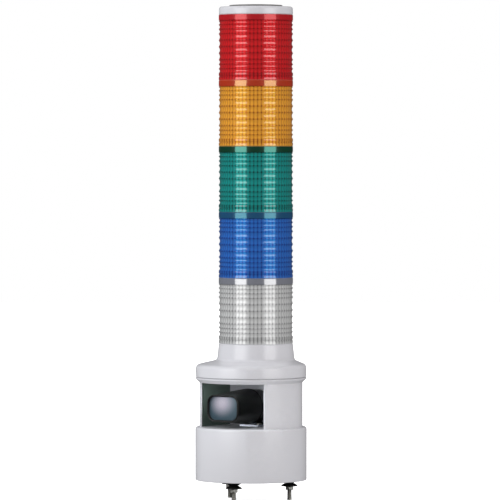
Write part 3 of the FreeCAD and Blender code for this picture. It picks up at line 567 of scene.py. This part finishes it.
def makeDrumWall(form, outer, low, high):
    # the jamb face, spun round the back of the drum to the other jamb, with its outer corners rounded
    inner = outer - form["drumWall"]
    turn = math.radians(form["windowHalfAngle"])
    deselectAll()
    middle = (inner + outer) / 2
    bpy.ops.mesh.primitive_plane_add(size=1, rotation=(math.pi / 2, 0, turn - math.pi / 2), location=(
        middle * math.sin(turn), -middle * math.cos(turn), (low + high) / 2))
    piece = bpy.context.object
    piece.scale = (outer - inner, high - low, 1)
    bpy.ops.object.transform_apply(location=True, rotation=True, scale=True)
    bpy.ops.object.mode_set(mode="EDIT")
    bpy.ops.mesh.select_all(action="SELECT")
    bpy.ops.mesh.spin(steps=columns * 3 // 4, angle=-2 * (math.pi - turn), center=(0, 0, 0),
                      axis=(0, 0, 1))
    bpy.ops.mesh.select_all(action="SELECT")
    bpy.ops.mesh.remove_doubles(threshold=mergeGap)
    bpy.ops.mesh.normals_make_consistent(inside=False)
    bpy.ops.mesh.select_all(action="DESELECT")
    bpy.ops.object.mode_set(mode="OBJECT")
    reach = outer * math.sin(turn)
    depth = -outer * math.cos(turn)
    for edge in piece.data.edges:
        ends = [piece.data.vertices[i].co for i in edge.vertices]
        edge.select = all(abs(abs(v.x) - reach) < 5 * near and abs(v.y - depth) < 5 * near for v in ends)
    bpy.ops.object.mode_set(mode="EDIT")
    bpy.ops.mesh.select_mode(type="EDGE")
    bpy.ops.mesh.bevel(offset=form["jambRound"], segments=form["jambSegments"], affect="EDGES")
    bpy.ops.mesh.select_mode(type="VERT")
    bpy.ops.object.mode_set(mode="OBJECT")
    return piece


def makeHousing(form):
    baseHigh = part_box("base_housing")[1]
    low = baseHigh.z
    coverR = baseHigh.x - coverForm["step"]
    outer = baseHigh.x - form["drumStep"]
    ceiling = low + form["drumHeight"]
    flange = ceiling + form["chamfer"]
    joint = flange + form["flangeEdge"]
    spigot = coverR - coverForm["wall"] - form["spigotGap"]
    top = joint + form["spigotHeight"]
    inside = spigot - form["spigotWall"]
    profile = softened([(0, ceiling, 0), (outer, ceiling, 0), (coverR, flange, form["flangeRound"]),
                        (coverR, joint, edgeRound), (spigot, joint, 0), (spigot, top, 0),
                        (inside, top, 0), (inside, ceiling + form["ceiling"], 0),
                        (0, ceiling + form["ceiling"], 0)])
    head = spinProfile("hornHousing", profile, (0, 0), columns)
    pieces = [head, makeDrumWall(form, outer, low, ceiling)]
    for x, y in ((-1, 0), (1, 0), (0, 1)):
        deselectAll()
        place = (x * form["postCircle"], y * form["postCircle"], (low + ceiling) / 2)
        bpy.ops.mesh.primitive_cylinder_add(vertices=form["postColumns"], radius=form["postRadius"],
                                            depth=ceiling - low, location=place)
        pieces.append(settle(bpy.context.object))
    piece = joined(pieces)
    smoothBy(piece, 30)
    paint(piece, whiteAbs)
    dress(piece, "white_abs", "horn_housing")


makeHousing(housingForm)
print("horn housing made")


def blend(first, corner, last, steps=8):
    # rings along a soft corner between two straight runs
    rings = []
    for step in range(steps + 1):
        t = step / steps
        rings.append(tuple(a * (1 - t) ** 2 + 2 * b * t * (1 - t) + c * t * t
                           for a, b, c in zip(first, corner, last)))
    return rings


def makeCover(form):
    low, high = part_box("top_cover")
    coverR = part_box("base_housing")[1].x - form["step"]
    lensLow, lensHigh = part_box("lens_clear")
    axisY = (lensLow.y + lensHigh.y) / 2
    lensR = (lensHigh.x - lensLow.x) / 2
    tower = high.z
    footR = lensR + form["neckFlare"]
    footZ = tower - form["neckHeight"]
    rimZ = footZ - form["shoulderRise"]
    rings = [(0, coverR - form["wall"], low.z), (0, coverR - edgeRound, low.z),
             (0, coverR, low.z + edgeRound)]
    corner, foot = (0, coverR, rimZ), (axisY, footR, footZ)

    def along(share):
        return tuple(a + (b - a) * share for a, b in zip(corner, foot))

    rings += blend((0, coverR, rimZ - form["cornerRun"]), corner, along(form["cornerEnd"]))
    neckTop = (axisY, lensR, tower)
    climb = form["footRun"] / form["neckHeight"]
    onNeck = tuple(a + (b - a) * climb for a, b in zip(foot, neckTop))
    rings += blend(along(form["footStart"]), foot, onNeck)
    bore = lensR - form["lipWall"]
    inside = lensR - form["wall"] - form["neckLedge"]
    rings += [(axisY, lensR, tower - edgeRound), (axisY, lensR - edgeRound, tower),
              (axisY, bore, tower), (axisY, bore, tower - form["lipDepth"]),
              (axisY, inside, tower - form["lipDepth"]), (axisY, inside, footZ - form["wall"]),
              (0, coverR - form["wall"], rimZ - form["wall"]),
              rings[0]]
    piece = ringShell("topCover", rings, columns)
    smoothBy(piece, 30)
    paint(piece, whiteAbs)
    dress(piece, "white_abs", "top_cover")


makeCover(coverForm)
print("top cover made")

capForm = {"wall": 3.4 * mm, "top": 2.5 * mm, "round": 3.0 * mm}
discForm = {"edge": 1.5 * mm, "steps": 8}


def makeCap(form):
    low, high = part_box("top_cap")
    centre = (low + high) / 2
    radius = (high.x - low.x) / 2
    bore = radius - form["wall"]
    under = high.z - form["top"]
    profile = softened([(bore, low.z, 0), (radius, low.z, edgeRound),
                        (radius, high.z, form["round"]), (0, high.z, 0), (0, under, 0),
                        (bore, under, edgeRound)])
    piece = spinProfile("topCap", profile, centre, columns)
    smoothBy(piece, 30)
    paint(piece, whiteAbs)
    dress(piece, "white_abs", "top_cap")


def makeDisc(form):
    # the disc's face is a shallow crown over a short upright edge, on the cap's own axis
    centre = sum(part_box("top_cap"), Vector()) / 2
    low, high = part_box("cap_disc")
    radius = (high.x - low.x) / 2
    crown = []
    for i in range(form["steps"]):
        angle = math.radians(90 * i / form["steps"])
        crown.append((radius * math.cos(angle),
                      low.z + form["edge"] + (high.z - low.z - form["edge"]) * math.sin(angle)))
    piece = spinProfile("capDisc", [(0, low.z), (radius, low.z)] + crown + [(0, high.z), (0, low.z)],
                        centre, columns)
    smoothBy(piece, 40)
    paint(piece, greyAbs)
    dress(piece, "grey_abs", "cap_disc")


makeCap(capForm)
makeDisc(discForm)
print("cap and disc made")


# horn and hardware keep the form of their solids; most are merged and shaded smooth, the rest only painted
shellPieces = [  # CAD node, piece, material, slot
    ("cover_seal", "coverSeal", sealGrey, "silicone"),
    ("tier_seals", "tierSeals", tierSeal, "silicone"),
    ("horn_bell", "hornBell", blackMoulding, "black_moulding"),
    ("horn_driver", "hornDriver", blackEnamel, "black_enamel"),
    ("horn_gauze", "hornGauze", gauzeSteel, "grey_gauze"),
    ("stud_washers", "studWashers", blackRubber, "black_rubber"),
    ("stud_nuts", "studNuts", zincSteel, "zinc_steel"),
    ("base_plate", "basePlate", zincSteel, "zinc_steel"),
    ("cable_grommet", "cableGrommet", blackRubber, "black_rubber"),
    ("tie_rods", "tieRods", zincSteel, "zinc_steel"),
    ("tower_seat", "towerSeat", discGrey, "seat_plastic"),
]
for node, name, material, slot in shellPieces:
    smoothCopy(node, name, material, slot)

plainNodes = {
    "wiring_screen_left": darkPanel, "wiring_screen_right": darkPanel, "horn_bracket": blueZinc,
    "bracket_bolt": zincSteel, "bracket_screws": zincSteel, "driver_terminals": tabBrass,
    "horn_diaphragm": alloyFoil, "clamp_screws": zincSteel, "plate_screws": zincSteel,
    "rod_nuts": zincSteel, "board_standoffs": zincSteel, "control_board": boardGreen,
    "terminal_block": terminalGreen, "board_components": componentBlack,
}
for colour in lensColours:
    plainNodes["tier_disc_" + colour] = discGrey
    plainNodes["lamp_core_" + colour] = boardWhite
for node, material in plainNodes.items():
    paint(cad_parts[node], material)
print("horn and hardware dressed")


thread = {"pitch": 0.8 * mm, "depth": 0.42 * mm, "columns": 32, "rowsPerTurn": 8, "tipChamfer": 0.6 * mm,
          "headRadius": 5.0 * mm, "headHeight": 1.5 * mm, "radius": 2.475 * mm, "circle": 41.5 * mm,
          "count": 3, "phase": 7.0}


def cutThread(piece, centre, form, low, high):
    # moves each row in by the thread's depth, turning with the angle, and fades it out at both ends
    for vertex in piece.data.vertices:
        x, y, z = vertex.co.x - centre.x, vertex.co.y - centre.y, vertex.co.z
        radius = math.hypot(x, y)
        if radius < form["radius"] * 0.98 or radius > form["radius"] * 1.02:
            continue
        turn = (z - low) / form["pitch"] - math.atan2(y, x) / (2 * math.pi)
        share = abs(2 * (turn % 1) - 1)
        fade = min(1, max(0, (z - low) / form["pitch"]), max(0, (high - z) / form["pitch"]))
        scale = 1 - share * fade * form["depth"] / radius
        vertex.co.x, vertex.co.y = centre.x + x * scale, centre.y + y * scale


def makeStuds():
    low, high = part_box("mounting_studs")
    headZ = high.z - thread["headHeight"]
    tipZ = low.z + thread["tipChamfer"]
    rows = round((headZ - tipZ) / thread["pitch"] * thread["rowsPerTurn"])
    studs = []
    for index in range(thread["count"]):
        angle = math.radians(thread["phase"] + index * 360 / thread["count"])
        centre = Vector((thread["circle"] * math.sin(angle), -thread["circle"] * math.cos(angle), 0))
        points = [(0, low.z), (thread["radius"] - thread["tipChamfer"], low.z)]
        points += [(thread["radius"], tipZ + (headZ - tipZ) * i / rows) for i in range(rows + 1)]
        points += [(thread["headRadius"], headZ), (thread["headRadius"], high.z), (0, high.z)]
        stud = spinProfile("mountingStud" + str(index + 1), points, centre, thread["columns"])
        cutThread(stud, centre, thread, tipZ, headZ)
        studs.append(stud)
    piece = joined(studs)
    piece.name = "mountingStuds"
    smoothBy(piece, 40)
    paint(piece, zincSteel)
    dress(piece, "zinc_steel", "mounting_studs")


makeStuds()
print("studs threaded")


stage = {"floorRadius": 6.0, "ambient": 0.89, "mirrored": 0.06, "through": 0.3, "floorGlow": 0.9,
         "floorShade": "DADADA"}
softboxes = [  # azimuth in degrees from -Y, lengths in metres, power in watts; mirrored ones only show in gloss
    {"name": "stripLeft", "azimuth": -14.6, "distance": 1.15, "centre": 0.53, "width": 0.80,
     "height": 0.88, "power": 11.0, "colour": (1, 1, 1), "spread": 180, "aim": 0.25, "mirrored": True},
    {"name": "stripRight", "azimuth": 79.0, "distance": 1.15, "centre": 0.53, "width": 0.80,
     "height": 0.88, "power": 10.0, "colour": (1, 1, 1), "spread": 180, "aim": 0.25, "mirrored": True},
    {"name": "keyLeft", "azimuth": -48.0, "distance": 2.0, "centre": 1.4, "width": 1.0,
     "height": 1.0, "power": 24.0, "colour": (0.94, 0.98, 1), "spread": 180, "aim": 0.25, "mirrored": False},
    {"name": "fillRight", "azimuth": 80.0, "distance": 2.0, "centre": 1.0, "width": 1.0,
     "height": 1.0, "power": 7.0, "colour": (1, 0.98, 0.98), "spread": 180, "aim": 0.25, "mirrored": False},
    {"name": "windowFill", "azimuth": 8.0, "distance": 1.5, "centre": 0.12, "width": 0.12,
     "height": 0.05, "power": 0.006, "colour": (0.9, 0.97, 1), "spread": 6, "aim": 0.08, "mirrored": False},
    {"name": "chamberFill", "azimuth": 0.0, "distance": 0.042, "centre": 0.1045, "width": 0.05,
     "height": 0.012, "power": 0.035, "colour": (0.9, 0.96, 1), "spread": 180, "aim": 0.02,
     "mirrored": False},
]
cameraPlace = {"azimuth": 33.4, "distance": 4.85, "height": 0.363, "aimHeight": 0.2478, "aside": -1.1 * mm,
               "lens": 324.3}


def brightness(tree, matt, mirrored, through, seen):
    # how bright the surroundings are to matt surfaces, in reflections, through resin and to the eye
    path = addNode(tree, "ShaderNodeLightPath")
    value = matt
    for kind, strength in (("Is Glossy Ray", mirrored), ("Is Transmission Ray", through),
                           ("Is Camera Ray", seen)):
        value = addNode(tree, "ShaderNodeMix", {"Factor": path.outputs[kind], "A": value,
                                                "B": strength}).outputs["Result"]
    return value


def makeFloor():
    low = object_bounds()[0]
    deselectAll()
    bpy.ops.mesh.primitive_circle_add(vertices=96, radius=stage["floorRadius"], fill_type="NGON",
                                      location=(0, 0, low.z))
    floor = bpy.context.object
    floor.name = "floor"
    material, tree, output, place = newMaterial("paperSweepWhite")
    glow = brightness(tree, 0.0, 0.0, stage["through"], stage["floorGlow"])
    emission = addNode(tree, "ShaderNodeEmission", {"Color": (1, 1, 1, 1), "Strength": glow})
    matt = addNode(tree, "ShaderNodeBsdfDiffuse", {"Color": fromHex(stage["floorShade"])})
    both = addNode(tree, "ShaderNodeAddShader", {0: emission.outputs[0], 1: matt.outputs[0]})
    dim = addNode(tree, "ShaderNodeEmission", {"Color": (1, 1, 1, 1), "Strength": stage["mirrored"]})
    path = addNode(tree, "ShaderNodeLightPath")
    seen = addNode(tree, "ShaderNodeMixShader", {0: path.outputs["Is Glossy Ray"], 1: both.outputs[0],
                                                 2: dim.outputs[0]})
    tree.links.new(seen.outputs[0], output.inputs["Surface"])
    paint(floor, material)


def makeWorld():
    world = bpy.data.worlds.new("studioWhite")
    bpy.context.scene.world = world
    world.use_nodes = True
    tree = world.node_tree
    tree.nodes.clear()
    strength = brightness(tree, stage["ambient"], stage["mirrored"], stage["through"], 1.0)
    background = addNode(tree, "ShaderNodeBackground", {"Color": (1, 1, 1, 1), "Strength": strength})
    output = addNode(tree, "ShaderNodeOutputWorld")
    tree.links.new(background.outputs[0], output.inputs["Surface"])


def makeSoftbox(box):
    light = bpy.data.lights.new(box["name"], "AREA")
    light.shape = "RECTANGLE"
    light.size = box["width"]
    light.size_y = box["height"]
    light.energy = box["power"]
    lamp = bpy.data.objects.new(box["name"], light)
    bpy.context.scene.collection.objects.link(lamp)
    turn = math.radians(box["azimuth"])
    lamp.location = (box["distance"] * math.sin(turn), -box["distance"] * math.cos(turn), box["centre"])
    light.color = box["colour"]
    light.spread = math.radians(box["spread"])
    away = Vector((lamp.location.x, lamp.location.y, 0 if box["mirrored"] else box["centre"] - box["aim"]))
    lamp.rotation_euler = away.to_track_quat("Z", "Y").to_euler()
    lamp.visible_glossy = box["mirrored"]
    lamp.visible_diffuse = not box["mirrored"]
    lamp.visible_transmission = False
    lamp.visible_camera = False


def makeCamera():
    turn = math.radians(cameraPlace["azimuth"])
    right = Vector((math.cos(turn), math.sin(turn), 0))
    out = Vector((math.sin(turn), -math.cos(turn), 0))
    data = bpy.data.cameras.new("camera")
    data.lens = cameraPlace["lens"]
    data.sensor_width = 36.0
    camera = bpy.data.objects.new("camera", data)
    bpy.context.scene.collection.objects.link(camera)
    aim = right * cameraPlace["aside"] + Vector((0, 0, cameraPlace["aimHeight"]))
    camera.location = out * cameraPlace["distance"] + Vector((0, 0, cameraPlace["height"]))
    camera.rotation_euler = (aim - camera.location).to_track_quat("-Z", "Y").to_euler()
    bpy.context.scene.camera = camera


makeFloor()
makeWorld()
for box in softboxes:
    makeSoftbox(box)
makeCamera()
bpy.context.scene.view_settings.view_transform = "Standard"
print("stage, lights and camera set")
